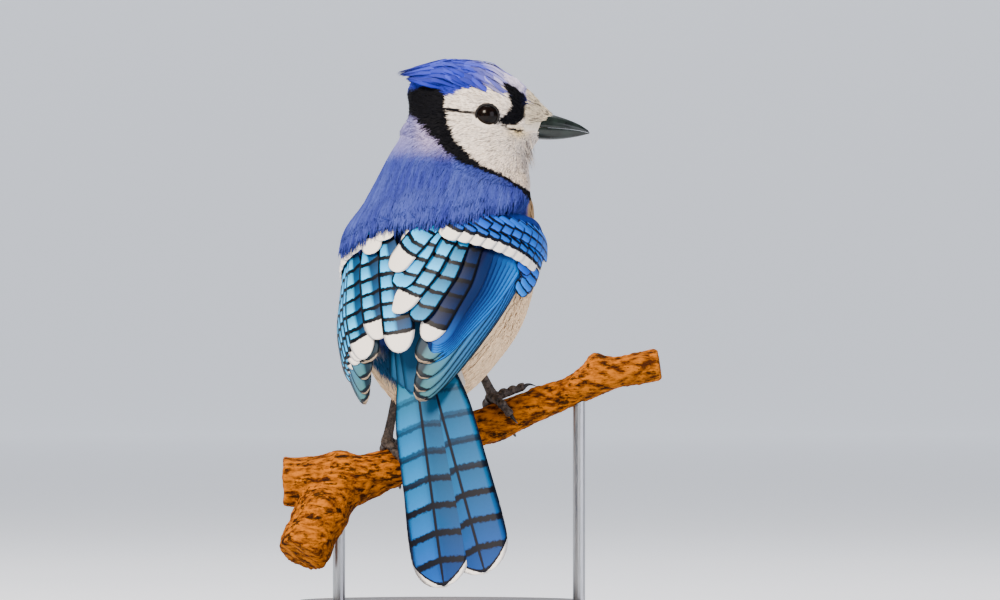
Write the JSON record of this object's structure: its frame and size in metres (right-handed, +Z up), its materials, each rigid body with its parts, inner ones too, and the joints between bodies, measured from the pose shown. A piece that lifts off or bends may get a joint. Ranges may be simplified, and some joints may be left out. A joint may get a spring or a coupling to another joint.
{
  "type": "blue jay figure on a stand",
  "caption": "Life-size perching blue jay, head turned to its right, on a cut length of branch held up by a small turned stand.",
  "frame": {"origin": "middle of the underside of the stand's base", "axes": "+Z up, +Y the way the body faces, +X the bird's right; the head looks to its right and the picture is seen from behind, 25 degrees round to the bird's right"},
  "size_m": [0.1438, 0.124, 0.2246],
  "materials": {
    "blue_plumage": "soft blue-violet body feathers",
    "head_plumage": "white face, black collar and blue crest",
    "wing_plumage": "bright blue barred flight feathers with white tips",
    "tail_plumage": "blue-green barred tail feathers with white corners",
    "belly_plumage": "cream body feathers",
    "bill_horn": "dark horn with a soft gloss",
    "leg_scale": "dark scaly skin",
    "eye": "wet dark brown",
    "bark": "rough golden brown bark",
    "stand_wood": "dark turned wood, satin",
    "stand_steel": "brushed rod"
  },
  "bodies": {
    "root": {"torso": "blue_plumage", "neck": "blue_plumage", "head": "head_plumage", "bill_upper": "bill_horn", "bill_lower": "bill_horn", "eye_left": "eye", "eye_right": "eye", "wing_left": "wing_plumage", "wing_right": "wing_plumage", "tail": "tail_plumage", "thigh_left": "belly_plumage", "thigh_right": "belly_plumage", "tarsus_left": "leg_scale", "tarsus_right": "leg_scale", "foot_left": "leg_scale", "foot_right": "leg_scale", "perch": "bark", "stand_base": "stand_wood", "stand_rod_left": "stand_steel", "stand_rod_right": "stand_steel"}
  },
  "joints": []
}
